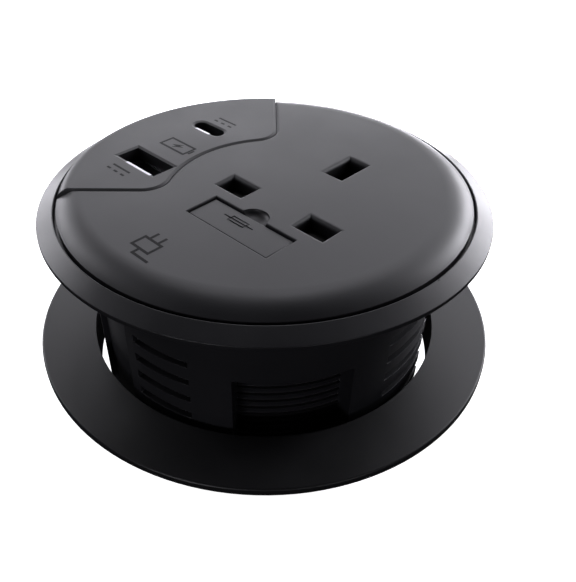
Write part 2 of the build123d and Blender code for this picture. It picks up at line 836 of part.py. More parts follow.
# Cartridge fuse: glass tube, two plated caps and the wire
with BuildPart() as fuse_tube:
    rod_along_x(fuse_start + cap_end, fuse_end - cap_end, tube_radius)
    rod_along_x(fuse_start + cap_end, fuse_end - cap_end, tube_radius - tube_wall, mode=Mode.SUBTRACT)
fuse_tube.part.label = "fuse_tube"
export_step(fuse_tube.part, "parts/fuse_tube.step")

with BuildPart() as fuse_caps:
    rod_along_x(fuse_start, fuse_start + cap_length, fuse_radius)
    rod_along_x(fuse_end - cap_length, fuse_end, fuse_radius)
    rod_along_x(fuse_start + cap_end, fuse_end - cap_end, tube_radius, mode=Mode.SUBTRACT)
fuse_caps.part.label = "fuse_caps"
export_step(fuse_caps.part, "parts/fuse_caps.step")

with BuildPart() as fuse_wire:
    rod_along_x(fuse_start + cap_end, fuse_end - cap_end, fuse_wire_radius)
fuse_wire.part.label = "fuse_wire"
export_step(fuse_wire.part, "parts/fuse_wire.step")

with BuildPart() as fuse_clips:
    for place in clip_places:
        folded_clip(
            clip_plane_x(*place),
            clip_grip,
            clip_width,
            tub_floor,
            fuse_z + fuse_radius,
            clip_flare,
            clip_lip,
        )
        upright_box(*place, tag_end, tub_floor, tag_width, strip)
fuse_clips.part.label = "fuse_clips"
export_step(fuse_clips.part, "parts/fuse_clips.step")


# Charging board and what it carries
with BuildPart() as usb_board:
    with BuildSketch(Plane.XY.offset(usb_board_bottom)):
        Circle(bore_radius - fit_gap)
        with Locations((usb_board_edge_x, (usb_board_low_y + usb_board_high_y) / 2)):
            board_box = (2 * bore_radius, usb_board_high_y - usb_board_low_y)
            Rectangle(*board_box, align=(Align.MAX, Align.CENTER), mode=Mode.INTERSECT)
    extrude(amount=board_wall)
    for place in insert_post_places:
        hole_radius = insert_screw_radius + screw_hole_gap
        upright_rod(*place, usb_board_bottom, usb_board_top, hole_radius, mode=Mode.SUBTRACT)
usb_board.part.label = "usb_board"
export_step(usb_board.part, "parts/usb_board.step")

with BuildPart() as usb_screws:
    for place in insert_post_places:
        head_low = usb_board_bottom - insert_screw_head_height
        upright_rod(*place, head_low, usb_board_bottom, insert_screw_head_radius)
        upright_rod(*place, usb_board_bottom, head_low + insert_screw_length, insert_screw_radius)
usb_screws.part.label = "usb_screws"
export_step(usb_screws.part, "parts/usb_screws.step")

with BuildPart() as usb_chips:
    for shift in chip_shifts:
        place = shifted(usb_c_place, shift)
        upright_box(*place, usb_board_bottom - chip_height, usb_board_bottom, chip_size, chip_size)
    coil_place = shifted((usb_a_x, usb_a_y), coil_shift)
    upright_box(*coil_place, usb_board_bottom - coil_height, usb_board_bottom, coil_size, coil_size)
usb_chips.part.label = "usb_chips"
export_step(usb_chips.part, "parts/usb_chips.step")


# USB-A receptacle: steel shell, tongue and four fingers
usb_mouth = plate_bottom - usb_mouth_gap
usb_a_tongue_y = usb_a_y + usb_a_tongue_offset
usb_a_tongue_top = usb_mouth - usb_a_tongue_drop

with BuildPart() as usb_a_shell:
    with BuildSketch(Plane.XY.offset(usb_board_top)):
        with Locations((usb_a_x, usb_a_y)):
            Rectangle(usb_a_length + 2 * usb_shell_wall, usb_a_width + 2 * usb_shell_wall)
            Rectangle(usb_a_length, usb_a_width, mode=Mode.SUBTRACT)
    extrude(amount=usb_mouth - usb_board_top)
usb_a_shell.part.label = "usb_a_shell"
export_step(usb_a_shell.part, "parts/usb_a_shell.step")

with BuildPart() as usb_a_tongue:
    base_top = usb_board_top + usb_base_height
    upright_box(usb_a_x, usb_a_y, usb_board_top, base_top, usb_a_length, usb_a_width)
    tongue = (usb_a_tongue_length, usb_a_tongue_width)
    upright_box(usb_a_x, usb_a_tongue_y, base_top, usb_a_tongue_top, *tongue)
usb_a_tongue.part.label = "usb_a_tongue"
export_step(usb_a_tongue.part, "parts/usb_a_tongue.step")

with BuildPart() as usb_a_contacts:
    finger_y = usb_a_tongue_y - usb_a_tongue_width / 2 - usb_finger_thickness / 2
    finger_high = usb_a_tongue_top - usb_finger_inset
    for index in range(4):
        x = usb_a_x + (index - 1.5) * usb_a_finger_pitch
        finger_low = usb_board_top + usb_base_height
        upright_box(x, finger_y, finger_low, finger_high, usb_a_finger_width, usb_finger_thickness)
usb_a_contacts.part.label = "usb_a_contacts"
export_step(usb_a_contacts.part, "parts/usb_a_contacts.step")


# USB-C receptacle: steel shell and tongue
with BuildPart() as usb_c_shell:
    with BuildSketch(Plane.XY.offset(usb_board_top)):
        with Locations((usb_c_x, usb_c_y)):
            SlotOverall(usb_c_length + 2 * usb_shell_wall, usb_c_width + 2 * usb_shell_wall)
            SlotOverall(usb_c_length, usb_c_width, mode=Mode.SUBTRACT)
    extrude(amount=usb_mouth - usb_board_top)
usb_c_shell.part.label = "usb_c_shell"
export_step(usb_c_shell.part, "parts/usb_c_shell.step")

with BuildPart() as usb_c_tongue:
    with BuildSketch(Plane.XY.offset(usb_board_top)):
        with Locations((usb_c_x, usb_c_y)):
            Rectangle(usb_c_length - usb_c_width, usb_c_width)
    extrude(amount=usb_base_height)
    tongue_top = usb_mouth - usb_c_tongue_drop
    tongue = (usb_c_tongue_length, usb_c_tongue_width)
    upright_box(usb_c_x, usb_c_y, usb_board_top, tongue_top, *tongue)
usb_c_tongue.part.label = "usb_c_tongue"
export_step(usb_c_tongue.part, "parts/usb_c_tongue.step")


# Mains board below the core
power_board_radius = pocket_radius - board_gap
line_pin = (inlet_pin_spacing / 2, inlet_y - inlet_earth_offset / 2)
neutral_pin = (-inlet_pin_spacing / 2, inlet_y - inlet_earth_offset / 2)
earth_pin = (0, inlet_y + inlet_earth_offset / 2)
inlet_pin_places = (line_pin, neutral_pin, earth_pin)

with BuildPart() as power_board:
    with BuildSketch(Plane.XY.offset(power_board_bottom)):
        Circle(power_board_radius)
        with Locations(*post_places):
            Circle(post_radius + fit_gap, mode=Mode.SUBTRACT)
        with Locations(*standoff_places):
            Circle(screw_radius + screw_hole_gap, mode=Mode.SUBTRACT)
        with Locations((line_x, ln_y), (neutral_x, ln_y), *clip_places):
            Rectangle(*slot, mode=Mode.SUBTRACT)
        with Locations((socket_x, earth_y), *inlet_pin_places):
            Rectangle(slot[1], slot[0], mode=Mode.SUBTRACT)
    extrude(amount=board_wall)
power_board.part.label = "power_board"
export_step(power_board.part, "parts/power_board.step")

with BuildPart() as board_screws:
    for place in standoff_places:
        head_low = power_board_bottom - screw_head_height
        upright_rod(*place, head_low, power_board_bottom, screw_head_radius)
        upright_rod(*place, power_board_bottom, power_board_bottom + screw_length, screw_radius)
board_screws.part.label = "board_screws"
export_step(board_screws.part, "parts/board_screws.step")

with BuildPart() as core_screws:
    for place in post_places:
        upright_rod(*place, core_top, core_top + screw_head_height, screw_head_radius)
        upright_rod(*place, core_top - screw_length, core_top, screw_radius)
core_screws.part.label = "core_screws"
export_step(core_screws.part, "parts/core_screws.step")


# Parts that hang below the mains board; the transformer is midway from the inlet to the wall
inlet_outer = (inlet_length + 2 * inlet_wall, inlet_width + 2 * inlet_wall)
transformer_front = transformer_width / 2 - transformer_y
transformer_x = (inlet_outer[0] / 2 + sqrt(pocket_radius**2 - transformer_front**2)) / 2
leg_outer = transformer_length / 2 - transformer_leg
window_height = transformer_height - 2 * transformer_yoke
transformer_low = power_board_bottom - transformer_height

with BuildPart() as transformer_core:
    transformer = (transformer_length, transformer_width)
    upright_box(transformer_x, transformer_y, transformer_low, power_board_bottom, *transformer)
    window = (leg_outer - transformer_core_leg, transformer_width)
    for side in (-1, 1):
        x = transformer_x + side * (leg_outer + transformer_core_leg) / 2
        window_low = transformer_low + transformer_yoke
        upright_box(
            x, transformer_y, window_low, window_low + window_height, *window, mode=Mode.SUBTRACT
        )
transformer_core.part.label = "transformer_core"
export_step(transformer_core.part, "parts/transformer_core.step")

with BuildPart() as transformer_winding:
    inner = (2 * (transformer_core_leg + winding_gap), transformer_width + 2 * winding_gap)
    winding = leg_outer - transformer_core_leg - 2 * winding_gap
    with BuildSketch(Plane.XY.offset(transformer_low + transformer_yoke + winding_gap)):
        with Locations((transformer_x, transformer_y)):
            RectangleRounded(inner[0] + 2 * winding, inner[1] + 2 * winding, winding * 0.9)
            Rectangle(*inner, mode=Mode.SUBTRACT)
    extrude(amount=window_height - 2 * winding_gap)
transformer_winding.part.label = "transformer_winding"
export_step(transformer_winding.part, "parts/transformer_winding.step")

capacitor_places = (
    (left_capacitors_x, -left_capacitors_spacing / 2),
    (left_capacitors_x, left_capacitors_spacing / 2),
    shifted(front_post, front_capacitor_shift),
)

with BuildPart() as capacitors:
    for place in capacitor_places:
        upright_rod(*place, power_board_bottom - capacitor_height, power_board_bottom, capacitor_radius)
    groove_top = power_board_bottom - capacitor_groove_drop
    with BuildSketch(Plane.XY.offset(groove_top - capacitor_groove)):
        with Locations(*capacitor_places):
            Circle(capacitor_radius + capacitor_groove)
            Circle(capacitor_radius - capacitor_groove, mode=Mode.SUBTRACT)
    extrude(amount=capacitor_groove, mode=Mode.SUBTRACT)
capacitors.part.label = "capacitors"
export_step(capacitors.part, "parts/capacitors.step")

with BuildPart() as film_capacitor:
    film_place = shifted(back_post, film_shift)
    upright_box(*film_place, power_board_bottom - film_height, power_board_bottom, film_length, film_width)
    fillet(film_capacitor.edges().filter_by(Axis.Z), film_round)
film_capacitor.part.label = "film_capacitor"
export_step(film_capacitor.part, "parts/film_capacitor.step")

choke_place = (choke_x, choke_inset - power_board_radius)
choke_low = power_board_bottom - choke_height
choke_core_radius = choke_radius - choke_waist

with BuildPart() as choke_core:
    upright_rod(*choke_place, power_board_bottom - choke_flange, power_board_bottom, choke_radius)
    upright_rod(*choke_place, choke_low, power_board_bottom, choke_core_radius)
    upright_rod(*choke_place, choke_low, choke_low + choke_flange, choke_radius)
choke_core.part.label = "choke_core"
export_step(choke_core.part, "parts/choke_core.step")

with BuildPart() as choke_winding:
    with BuildSketch(Plane.XY.offset(choke_low + choke_flange)):
        with Locations(choke_place):
            Circle(choke_radius - winding_gap)
            Circle(choke_core_radius, mode=Mode.SUBTRACT)
    extrude(amount=choke_height - 2 * choke_flange)
choke_winding.part.label = "choke_winding"
export_step(choke_winding.part, "parts/choke_winding.step")

with BuildPart() as rectifier:
    rectifier_low = power_board_bottom - rectifier_height
    upright_box(*rectifier_place, rectifier_low, power_board_bottom, rectifier_length, rectifier_width)
rectifier.part.label = "rectifier"
export_step(rectifier.part, "parts/rectifier.step")


# Header that joins the two boards
link_places = [(link_x, link_y + (index - (link_pins - 1) / 2) * link_pitch) for index in range(link_pins)]

with BuildPart() as board_link_base:
    link_top = power_board_top + link_base_height
    upright_box(link_x, link_y, power_board_top, link_top, link_base_width, link_pins * link_pitch)
    for place in link_places:
        upright_box(*place, power_board_top, link_top, link_pin, link_pin, mode=Mode.SUBTRACT)
board_link_base.part.label = "board_link_base"
export_step(board_link_base.part, "parts/board_link_base.step")

with BuildPart() as board_link_pins:
    for place in link_places:
        upright_box(*place, power_board_top, usb_board_bottom, link_pin, link_pin)
board_link_pins.part.label = "board_link_pins"
export_step(board_link_pins.part, "parts/board_link_pins.step")


# Mains inlet in the base
inlet_roof = inlet_height - inlet_back

with BuildPart() as inlet_body:
    upright_box(0, inlet_y, 0, inlet_height, *inlet_outer)
    flange = (inlet_outer[0] + 2 * inlet_flange, inlet_outer[1] + 2 * inlet_flange)
    upright_box(0, inlet_y, base_wall, base_wall + inlet_flange_wall, *flange)
    with BuildSketch():
        with Locations((0, inlet_y)):
            Rectangle(inlet_length, inlet_width)
    extrude(amount=inlet_roof, mode=Mode.SUBTRACT)
    for place in inlet_pin_places:
        upright_box(
            *place, inlet_roof, inlet_height, inlet_pin_width, inlet_pin_length, mode=Mode.SUBTRACT
        )
inlet_body.part.label = "inlet_body"
export_step(inlet_body.part, "parts/inlet_body.step")

with BuildPart() as inlet_pins:
    for place in inlet_pin_places:
        upright_box(*place, inlet_pin_recess, inlet_height, inlet_pin_width, inlet_pin_length)
        upright_box(*place, inlet_height, power_board_top - tag_inset, strip, tag_width)
inlet_pins.part.label = "inlet_pins"
export_step(inlet_pins.part, "parts/inlet_pins.step")

with BuildPart() as base_cap:
    with BuildSketch():
        Circle(bore_radius - fit_gap)
        for turn in (0, 180):
            add(
                ring_sector(
                    pocket_radius - fit_gap,
                    bore_radius,
                    pocket_start + turn - cap_notch_margin,
                    pocket_spread + 2 * cap_notch_margin,
                ),
                mode=Mode.SUBTRACT,
            )
        with Locations((0, inlet_y)):
            opening = (inlet_outer[0] + 2 * tag_gap, inlet_outer[1] + 2 * tag_gap)
            Rectangle(*opening, mode=Mode.SUBTRACT)
    extrude(amount=base_wall)
    for place in post_places:
        upright_rod(*place, 0, base_wall, screw_radius + screw_hole_gap, mode=Mode.SUBTRACT)
        sink = screw_head_radius + screw_hole_gap
        upright_rod(*place, 0, screw_sink, sink, mode=Mode.SUBTRACT)
base_cap.part.label = "base_cap"
export_step(base_cap.part, "parts/base_cap.step")

with BuildPart() as base_screws:
    for place in post_places:
        upright_rod(*place, screw_sink - screw_head_height, screw_sink, screw_head_radius)
        upright_rod(*place, screw_sink, screw_sink + screw_length, screw_radius)
base_screws.part.label = "base_screws"
export_step(base_screws.part, "parts/base_screws.step")


# Clamp ring: flange, collar and the two keys that run in the barrel's channels
key_gap_spread = degrees(slide_gap / barrel_radius)

with BuildPart() as clamp_ring:
    with BuildSketch(Plane.XY.offset(ring_bottom)):
        Circle(ring_radius)
        Circle(ring_hole_radius, mode=Mode.SUBTRACT)
    extrude(amount=ring_thickness)
    rim = clamp_ring.edges().filter_by(GeomType.CIRCLE).group_by(SortBy.RADIUS)[-1]
    fillet(rim, ring_edge)
    with BuildSketch(Plane.XY.offset(collar_bottom)):
        Circle(collar_radius)
        Circle(ring_hole_radius, mode=Mode.SUBTRACT)
    extrude(amount=collar_depth)
    for index in range(gusset_count):
        with BuildSketch(radial_plane((index + 0.5) * 360 / gusset_count)):
            with BuildLine():
                inside = collar_radius - collar_wall / 2
                Polyline(
                    (inside, ring_bottom),
                    (ring_radius - gusset_margin, ring_bottom),
                    (inside, ring_bottom - gusset_depth),
                    close=True,
                )
            make_face()
        extrude(amount=gusset_wall / 2, both=True)
    for turn in (0, 180):
        with BuildSketch(Plane.XY.offset(collar_bottom)):
            add(
                ring_sector(
                    tooth_radius + slide_gap,
                    ring_hole_radius + collar_wall / 2,
                    channel_start + turn + key_gap_spread,
                    channel_spread - 2 * key_gap_spread,
                )
            )
        extrude(amount=key_height)
clamp_ring.part.label = "clamp_ring"
export_step(clamp_ring.part, "parts/clamp_ring.step")
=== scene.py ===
"""In-desk power module: the finish of its pieces, a pale studio floor and the camera.

The shapes are worked out in millimetres and set down in metres. X runs from the neutral to
the live pin, Y towards the earth pin, and the origin is the centre of the barrel's foot.
"""

import json
from math import acos, atan2, cos, pi, radians, sin, sqrt

import bmesh
import bpy
from mathutils import Matrix, Vector


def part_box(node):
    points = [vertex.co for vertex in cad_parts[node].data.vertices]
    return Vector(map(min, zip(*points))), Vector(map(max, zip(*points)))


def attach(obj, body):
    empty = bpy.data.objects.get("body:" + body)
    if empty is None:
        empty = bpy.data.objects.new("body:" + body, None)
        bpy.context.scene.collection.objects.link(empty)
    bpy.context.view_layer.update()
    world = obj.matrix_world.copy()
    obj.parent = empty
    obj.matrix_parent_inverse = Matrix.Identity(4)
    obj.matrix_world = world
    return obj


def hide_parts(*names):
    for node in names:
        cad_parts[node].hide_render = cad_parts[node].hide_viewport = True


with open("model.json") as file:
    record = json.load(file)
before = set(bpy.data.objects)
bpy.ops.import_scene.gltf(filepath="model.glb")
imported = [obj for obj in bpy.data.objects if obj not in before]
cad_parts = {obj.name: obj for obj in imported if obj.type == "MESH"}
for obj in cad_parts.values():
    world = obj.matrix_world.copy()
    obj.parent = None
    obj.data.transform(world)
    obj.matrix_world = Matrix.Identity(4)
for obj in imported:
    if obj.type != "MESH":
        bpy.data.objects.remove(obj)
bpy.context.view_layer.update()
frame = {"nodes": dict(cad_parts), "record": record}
nodes = frame["nodes"]
scene = bpy.context.scene
MM = 0.001

# Face
face_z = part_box("cover")[1].z / MM
face_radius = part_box("cover")[1].x / MM
cover_roll = 8.9  # radius of the cover's rolled edge
insert_roll = 2.85  # radius of the insert's, a tighter one
face_roll_drop = 2.35  # from the flat of the face down to the rim's edge
roll_steps = 14
turn_steps = 256
plate_wall = 3.0
cover_depth = 4.0
skirt_wall = 3.0
plate_bottom = face_z - plate_wall
tray_floor = face_z - cover_depth
skirt_radius = face_radius - skirt_wall

# Pegs under the cover and the insert
peg_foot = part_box("cover")[0].z / MM
peg_circle = face_radius - skirt_wall / 2
peg_radius = 1.2
cover_peg_angles = (-110, -55, 0, 55, 110)
insert_peg_angles = (160, 200)

# Socket
socket_x = 9.8
pin_pitch = 22.23
live_x = socket_x + pin_pitch / 2
neutral_x = socket_x - pin_pitch / 2
live_y = -6.7  # the neutral pin's too
earth_y = live_y + pin_pitch
live_hole = (7.0, 4.62)
earth_hole = (4.62, 8.57)
aperture_bevel = 1.0

# Fuse door
fuse_y = -16.55
door_length = 21.8
door_width = 7.4
door_gap = 0.3
door_bevel = 0.3
door_sink = 0.4  # the door's top below the face
door_hole = (door_length + 2 * door_gap, door_width + 2 * door_gap)
scoop_size = (3.2, 2.9, 1.5)  # half the length and width of the fingernail scoop, and its depth

# Fuse symbol engraved in the door: a frame with a wire through it
symbol_place = (8.4, -15.6)
symbol_frame = (4.6, 2.0)
symbol_wire = 8.0
symbol_line = 0.4
engraving = 0.2
floor_step = 0.01  # keeps the floors of the frame and the wire from lying in one plane

# Openings in the face: the middle, the size and how far the mouth is rounded
openings = (
    (live_x, live_y, live_hole, aperture_bevel),
    (neutral_x, live_y, live_hole, aperture_bevel),
    (socket_x, earth_y, earth_hole, aperture_bevel),
    (socket_x, fuse_y, door_hole, door_bevel),
)

# Charging insert and its seam
insert_y = -1.9
seam_apex_x = 6.3
seam_waist_x = -17.3
seam_waist_radius = 24.0
seam_shoulder_radius = 6.0
seam_cover_side = -0.1  # the seam's two sides, as the outline is grown
seam_insert_side = -0.25
seam_slope = (0.6, 0.32)  # width and depth of the shallow slope on each side of the seam
seam_counts = (24, 40)  # points along a shoulder and the waist
ledge_width = 1.6
post_radius = 2.2
post_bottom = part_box("usb_insert")[0].z / MM
post_shifts = ((1.9, -10.8), (4.3, 8.2))  # from the middle of the USB-C port

# Ports
usb_a_middle = [value / MM for value in (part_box("usb_a_shell")[0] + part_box("usb_a_shell")[1]) / 2]
usb_c_middle = [value / MM for value in (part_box("usb_c_shell")[0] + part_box("usb_c_shell")[1]) / 2]
usb_a_hole = (13.1, 5.7)
usb_c_hole = (9.2, 3.4)
port_slope = (0.65, 0.22)  # width and depth of the shallow countersink round a port
tab_width = 0.7
tab_rise = 0.02  # a steel tab's outer edge above the face
tab_drop = 0.08  # its inner edge below the face
tab_sink = 0.3  # its underside below the face

# Print, screws and softened edges
ink_thickness = 0.02
cross_size = (2.6, 0.7, 0.8)  # length, width and depth of the recess in a screw's head
easing = {
    "barrel_housing": 0.12,
    "base_screws": 0.12,
    "base_cap": 0.15,
    "inlet_body": 0.2,
    "clamp_ring": 0.15,
}

# How shapes are cut, joined and shaded
overlap = 0.05  # how far joined shapes run into each other
past = 1.0  # how far a cutter runs past what it cuts
weld = 0.0005  # points this near are one after a cut or a rounding
node_weld = 0.002  # and this near in a node's mesh
flat_angle = radians(0.4)  # triangles that meet at less are one flat facet
edge_angle = radians(34)  # faces that meet at more have an edge to round
mouth_angle = radians(25)  # and at an opening in the face
mouth_margin = 0.3  # how far round an opening its edges may lie
upright = 0.1  # the most that an upright wall's normal leans
arc_step = radians(2.5)
piece_sharp = radians(32)  # faces that meet at more are shaded apart
face_sharp = radians(17)  # on the face, so that its shallow slopes stay crisp

# Sizes of the finishes' slow changes, in millimetres, and how far they move the roughness
plastic_patch = 14.0
plastic_gloss_change = (-0.03, 0.03)
metal_patch = 3.0
metal_gloss_change = (-0.05, 0.08)
mark_stretch = (1, 1, 12)  # a metal's marks are twelve times longer than they are high
glass_ripple = 2.0
glass_ripple_depth = 0.01
paper_fibre = 1.5
noise_range = (0.3, 0.7)  # the ends between which most of a noise lies


def srgb(code):
    """The linear colour of an sRGB hex value."""
    parts = [int(code[start : start + 2], 16) / 255 for start in (1, 3, 5)]
    linear = [part / 12.92 if part <= 0.04045 else ((part + 0.055) / 1.055) ** 2.4 for part in parts]
    return (*linear, 1.0)


def per_metre(size):
    """A pattern's scale, from the real size of one of its features in millimetres."""
    return 1 / (size * MM)


def add(tree, kind, inputs=None, **settings):
    """Adds a node with its settings. An input is a value, or another node's output to link. A Mix
    node's sockets are given by number: 0 is its factor, 6 and 7 are its two colours, and output
    2 is the colour between them."""
    node = tree.nodes.new(kind)
    for name, value in settings.items():
        setattr(node, name, value)
    for name, value in (inputs or {}).items():
        if isinstance(value, bpy.types.NodeSocket):
            tree.links.new(value, node.inputs[name])
        else:
            node.inputs[name].default_value = value
    return node


def blank(name):
    """A new material, its empty tree and the object's coordinates."""
    made = bpy.data.materials.new(name)
    made.use_nodes = True
    made.node_tree.nodes.clear()
    place = add(made.node_tree, "ShaderNodeTexCoord").outputs["Object"]
    return made, made.node_tree, place


def textured(name, dark, light, gloss, grain, depth, ior=1.53):
    """A moulded, coated or sintered surface. An even grain scatters the light, and soft patches
    vary in gloss, as where the melt met a hotter tool. Gloss is the roughness, and grain and
    depth are the texture's size and height in millimetres."""
    made, tree, place = blank(name)
    patches = add(
        tree,
        "ShaderNodeTexNoise",
        {"Vector": place, "Scale": per_metre(plastic_patch), "Detail": 3.0, "Roughness": 0.5},
    ).outputs["Fac"]
    texture = add(
        tree,
        "ShaderNodeTexNoise",
        {"Vector": place, "Scale": per_metre(grain), "Detail": 2.0, "Roughness": 0.6},
    ).outputs["Fac"]
    colour = add(
        tree, "ShaderNodeMix", {0: patches, 6: srgb(dark), 7: srgb(light)}, data_type="RGBA"
    ).outputs[2]
    roughness = add(
        tree,
        "ShaderNodeMapRange",
        {
            "Value": patches,
            "From Min": noise_range[0],
            "From Max": noise_range[1],
            "To Min": gloss + plastic_gloss_change[0],
            "To Max": gloss + plastic_gloss_change[1],
        },
    ).outputs["Result"]
    relief = add(
        tree, "ShaderNodeBump", {"Height": texture, "Strength": 1.0, "Distance": depth * MM}
    ).outputs["Normal"]
    shader = add(
        tree,
        "ShaderNodeBsdfPrincipled",
        {"Base Color": colour, "Roughness": roughness, "IOR": ior, "Normal": relief},
    )
    add(tree, "ShaderNodeOutputMaterial", {"Surface": shader.outputs["BSDF"]})
    return made


def rolled_metal(name, dark, light, gloss, scratch, depth):
    """Rolled, drawn or plated metal: long level marks from the rolls, and patches of dulled
    surface. Scratch and depth are the marks' size and height in millimetres."""
    made, tree, place = blank(name)
    along = add(
        tree, "ShaderNodeMapping", {"Vector": place, "Scale": mark_stretch}
    ).outputs["Vector"]
    marks = add(
        tree,
        "ShaderNodeTexNoise",
        {"Vector": along, "Scale": per_metre(scratch), "Detail": 3.0, "Roughness": 0.6},
    ).outputs["Fac"]
    patches = add(
        tree,
        "ShaderNodeTexNoise",
        {"Vector": place, "Scale": per_metre(metal_patch), "Detail": 2.0, "Roughness": 0.5},
    ).outputs["Fac"]
    colour = add(
        tree, "ShaderNodeMix", {0: patches, 6: srgb(dark), 7: srgb(light)}, data_type="RGBA"
    ).outputs[2]
    roughness = add(
        tree,
        "ShaderNodeMapRange",
        {
            "Value": marks,
            "From Min": noise_range[0],
            "From Max": noise_range[1],
            "To Min": gloss + metal_gloss_change[0],
            "To Max": gloss + metal_gloss_change[1],
        },
    ).outputs["Result"]
    relief = add(
        tree, "ShaderNodeBump", {"Height": marks, "Strength": 0.5, "Distance": depth * MM}
    ).outputs["Normal"]
    shader = add(
        tree,
        "ShaderNodeBsdfPrincipled",
        {"Base Color": colour, "Metallic": 1.0, "Roughness": roughness, "Normal": relief},
    )
    add(tree, "ShaderNodeOutputMaterial", {"Surface": shader.outputs["BSDF"]})
    return made


def clear_glass(name):
    """Drawn glass tube: clear, with a faint green edge and slow ripples."""
    made, tree, place = blank(name)
    ripples = add(
        tree,
        "ShaderNodeTexNoise",
        {"Vector": place, "Scale": per_metre(glass_ripple), "Detail": 1.0, "Roughness": 0.5},
    ).outputs["Fac"]
    relief = add(
        tree,
        "ShaderNodeBump",
        {"Height": ripples, "Strength": 0.2, "Distance": glass_ripple_depth * MM},
    ).outputs["Normal"]
    shader = add(
        tree,
        "ShaderNodeBsdfPrincipled",
        {
            "Base Color": srgb("#eef7f2"),
            "Roughness": 0.03,
            "IOR": 1.5,
            "Transmission Weight": 1.0,
            "Normal": relief,
        },
    )
    add(tree, "ShaderNodeOutputMaterial", {"Surface": shader.outputs["BSDF"]})
    return made


def lit_paper(name):
    """White paper lit from behind: nearly pure white, with faint fibres."""
    made, tree, place = blank(name)
    fibres = add(
        tree,
        "ShaderNodeTexNoise",
        {"Vector": place, "Scale": per_metre(paper_fibre), "Detail": 3.0, "Roughness": 0.5},
    ).outputs["Fac"]
    colour = add(
        tree, "ShaderNodeMix", {0: fibres, 6: srgb("#f6f6f6"), 7: srgb("#fbfbfb")}, data_type="RGBA"
    ).outputs[2]
    shader = add(
        tree,
        "ShaderNodeBsdfPrincipled",
        {
            "Base Color": colour,
            "Roughness": 0.9,
            "Emission Color": srgb("#ffffff"),
            "Emission Strength": 1.0,
        },
    )
    add(tree, "ShaderNodeOutputMaterial", {"Surface": shader.outputs["BSDF"]})
    return made


# Finishes, by the record's slots. The grain of a sparked mould and the marks of a roll are about
# 0.05 mm wide, too fine to show, so they are drawn two to ten times coarser
finishes = {
    # ABS from a finely sparked mould, which spreads the lamps into soft bands round the bezel
    "housing_plastic": textured("fine_sparked_black_abs", "#1c1c1f", "#202023", 0.37, 0.35, 0.006),
    # ABS from a coarser one, a satin dark grey all over the face
    "cover_plastic": textured("satin_sparked_black_abs", "#1d1d20", "#222225", 0.45, 0.35, 0.008),
    "insert_plastic": textured("satin_sparked_insert_abs", "#1d1d20", "#222225", 0.45, 0.35, 0.008),
    # Nylon, darker, with a low sheen along its edges
    "ring_plastic": textured("moulded_black_nylon", "#141416", "#18181a", 0.43, 0.45, 0.006),
    # Mouldings of the inside and the base, dull and without bright highlights
    "inner_plastic": textured("moulded_black_pbt", "#121213", "#161617", 0.55, 0.5, 0.006),
    "base_plastic": textured("moulded_black_abs", "#151517", "#19191b", 0.5, 0.4, 0.008),
    # The shutter's near black is partly its own black nylon and partly painted shade, darker than the
    # other mouldings so the openings over it look deep in shade
    "shutter_plastic": textured("shutter_nylon_with_painted_shade", "#060606", "#080808", 0.6, 0.4, 0.004),
    "chip_plastic": textured("moulded_black_epoxy", "#131314", "#1a1a1b", 0.6, 0.15, 0.006),
    "port_plastic": textured("moulded_port_polymer", "#101011", "#141415", 0.5, 0.3, 0.004),
    # Shrunk sleeve, cast case and wound tape, smoother, with slow ripples in the films
    "capacitor_sleeve": textured("shrunk_pvc_sleeve", "#141c2c", "#1a2233", 0.35, 4.0, 0.03),
    "film_case": textured("cast_yellow_case", "#a08a28", "#b49c30", 0.4, 0.5, 0.006),
    "winding_tape": textured("wound_yellow_tape", "#b89a1e", "#ccac28", 0.3, 3.0, 0.02),
    # Pressed and fired powder, grey and gritty
    "ferrite": textured("sintered_ferrite", "#26272a", "#303134", 0.6, 0.2, 0.01),
    # Glossy lacquer over a woven board
    "circuit_board": textured("lacquered_green_board", "#0c3a20", "#12482a", 0.3, 0.6, 0.005),
    # Metals, bright, with highlights drawn out along the marks
    "spring_steel": rolled_metal("drawn_spring_wire", "#8f9094", "#a9aaae", 0.28, 0.1, 0.003),
    "contact_brass": rolled_metal("stamped_brass", "#b08a3c", "#c79f4e", 0.3, 0.12, 0.004),
    "plated_brass": rolled_metal("nickel_plated_brass", "#b4b0a6", "#c8c4ba", 0.22, 0.12, 0.003),
    "screw_steel": rolled_metal("zinc_plated_steel", "#8d9096", "#a6a9ae", 0.32, 0.2, 0.005),
    "port_steel": rolled_metal("nickel_plated_sheet", "#94959a", "#adaeb2", 0.3, 0.12, 0.003),
    "copper_wire": rolled_metal("drawn_bare_copper", "#a8603a", "#c07a50", 0.3, 0.12, 0.003),
    # Clear, with bright edges
    "fuse_glass": clear_glass("drawn_clear_glass"),
}

# Pad-printed ink, a dead black film that reflects less than the plastic round it
symbol_ink = textured("printed_matt_black_ink", "#060607", "#08080a", 0.55, 0.2, 0.002, 1.25)
paper = lit_paper("lit_white_paper")


# Shapes
def temporary(bm):
    """An object in the scene that holds a shape while modifiers work on it."""
    mesh = bpy.data.meshes.new("temporary")
    bm.to_mesh(mesh)
    bm.free()
    held = bpy.data.objects.new("temporary", mesh)
    scene.collection.objects.link(held)
    return held


def combined(bm, other, operation):
    """A shape worked on by another, with the points that fall together made one."""
    body = temporary(bm)
    tool = temporary(other)
    work = body.modifiers.new("cut", "BOOLEAN")
    work.operation = operation
    work.solver = "EXACT"
    work.object = tool
    result = bmesh.new()
    result.from_object(body, bpy.context.evaluated_depsgraph_get())
    for held in (body, tool):
        mesh = held.data
        bpy.data.objects.remove(held)
        bpy.data.meshes.remove(mesh)
    bmesh.ops.remove_doubles(result, verts=result.verts, dist=weld)
    return result


def cut(bm, other):
    """A shape less another."""
    return combined(bm, other, "DIFFERENCE")


def joined(bm, other):
    """A shape joined with another."""
    return combined(bm, other, "UNION")


def common(bm, other):
    """What two shapes share."""
    return combined(bm, other, "INTERSECT")


